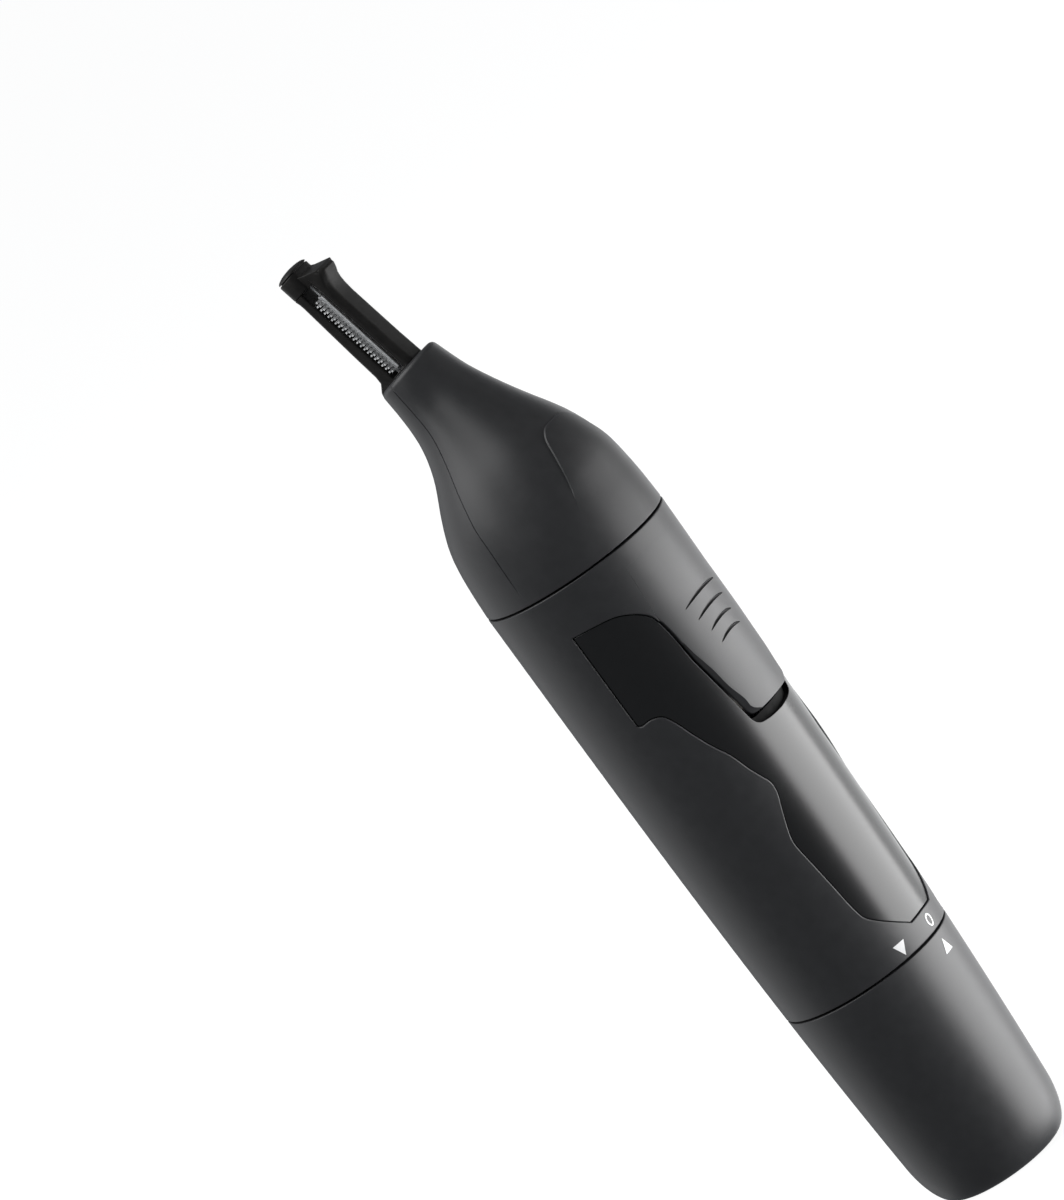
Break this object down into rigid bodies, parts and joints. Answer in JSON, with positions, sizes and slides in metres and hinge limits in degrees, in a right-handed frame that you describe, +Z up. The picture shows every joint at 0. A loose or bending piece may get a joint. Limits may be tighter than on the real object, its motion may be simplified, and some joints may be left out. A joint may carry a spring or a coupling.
{
  "type": "nose hair trimmer",
  "caption": "Cordless nose hair trimmer with a slim slotted comb bar on a bent head, a twist-off battery cap and a press tongue.",
  "frame": {"origin": "centre of the flat end of the battery cap, which it stands on", "axes": "+Z up along the handle's axis to the head, -Y towards the front with the inlay and the tongue, +Y to the back, where the head leans"},
  "size_m": [0.0264, 0.0266, 0.1452],
  "materials": {
    "housing_grey": "fine moulded matte dark grey",
    "inlay_gloss_black": "polished black inlay",
    "guard_black": "satin black moulding",
    "frame_plastic": "plain moulded grey, inside",
    "drive_plastic": "natural acetal, satin",
    "seal_rubber": "soft black rubber",
    "blade_steel": "ground stainless",
    "motor_steel": "drawn zinc-plated steel",
    "bush_bronze": "sintered bronze",
    "contact_brass": "pressed brass",
    "contact_nickel": "nickel plate",
    "winding_copper": "enamelled copper winding",
    "magnet_ferrite": "ferrite",
    "cell_jacket": "plain printed-film jacket without lettering",
    "lead_red": "wire sleeve"
  },
  "bodies": {
    "handle": {"body_shell": "housing_grey", "front_inlay": "inlay_gloss_black", "chassis": "frame_plastic", "coupling_collar": "frame_plastic", "head_seal_ring": "seal_rubber", "motor_can": "motor_steel", "motor_end_cap": "drive_plastic", "motor_bush": "bush_bronze", "motor_magnet_left": "magnet_ferrite", "motor_magnet_right": "magnet_ferrite", "motor_terminal_left": "contact_brass", "motor_terminal_right": "contact_brass", "motor_screw_left": "blade_steel", "motor_screw_right": "blade_steel", "shaft_seal": "seal_rubber", "positive_contact": "contact_nickel", "contact_strip": "contact_nickel", "lead_positive": "lead_red", "lead_negative": "seal_rubber", "tongue_spring": "blade_steel"},
    "rotor": {"motor_shaft": "blade_steel", "motor_armature": "winding_copper", "commutator": "contact_brass", "eccentric_cam": "drive_plastic"},
    "head": {"head_shell": "housing_grey", "head_frame": "frame_plastic", "rocker_pin": "blade_steel", "bush_bracket": "drive_plastic", "bracket_screw_left": "blade_steel", "bracket_screw_right": "blade_steel", "fixed_comb": "blade_steel", "blade_guard": "guard_black", "guard_tip": "guard_black", "neck_seal": "seal_rubber", "return_spring": "blade_steel"},
    "rocker": {"rocker": "drive_plastic"},
    "blade": {"moving_blade": "blade_steel", "drive_rod": "drive_plastic"},
    "tongue": {"release_tongue": "housing_grey"},
    "lock": {"lock_ring": "frame_plastic", "switch_wiper": "contact_nickel"},
    "cap": {"cap_shell": "housing_grey", "cap_spigot": "frame_plastic", "contact_sleeve": "contact_nickel", "cap_contact": "contact_nickel", "cap_spring": "blade_steel", "cap_seal_ring": "seal_rubber", "battery_cell": "contact_nickel", "battery_jacket": "cell_jacket"}
  },
  "joints": [
    {"name": "motor_spin", "type": "hinge", "parent": "handle", "child": "rotor", "pos_m": [0, 0, 0.0726], "axis": [0, 0, 1], "continuous": true},
    {"name": "head_pull", "type": "slide", "parent": "handle", "child": "head", "axis": [0, 0, 1], "range_m": [0, 0.03]},
    {"name": "rocker_swing", "type": "hinge", "parent": "head", "child": "rocker", "pos_m": [0, -0.007, 0.1065], "axis": [1, 0, 0], "range_deg": [-3.4, 3.4]},
    {"name": "blade_stroke", "type": "slide", "parent": "head", "child": "blade", "axis": [0, 0.2672, 0.9636], "range_m": [-0.00033, 0.00033]},
    {"name": "tongue_press", "type": "hinge", "parent": "handle", "child": "tongue", "pos_m": [0, -0.0124, 0.0934], "axis": [1, 0, 0], "range_deg": [0, 1.8], "stiffness_Nm_per_rad": 0.5, "deforming": ["tongue_spring"]},
    {"name": "cap_twist", "type": "hinge", "parent": "lock", "child": "handle", "pos_m": [0, 0, 0.03575], "axis": [0, 0, -1], "range_deg": [-30, 30]},
    {"name": "cap_pull", "type": "slide", "parent": "cap", "child": "lock", "axis": [0, 0, 1], "range_m": [0, 0.03]}
  ],
  "couplings": [
    {"joint": "rocker_swing", "follows": "blade_stroke", "rad_per_m": 173.61}
  ]
}
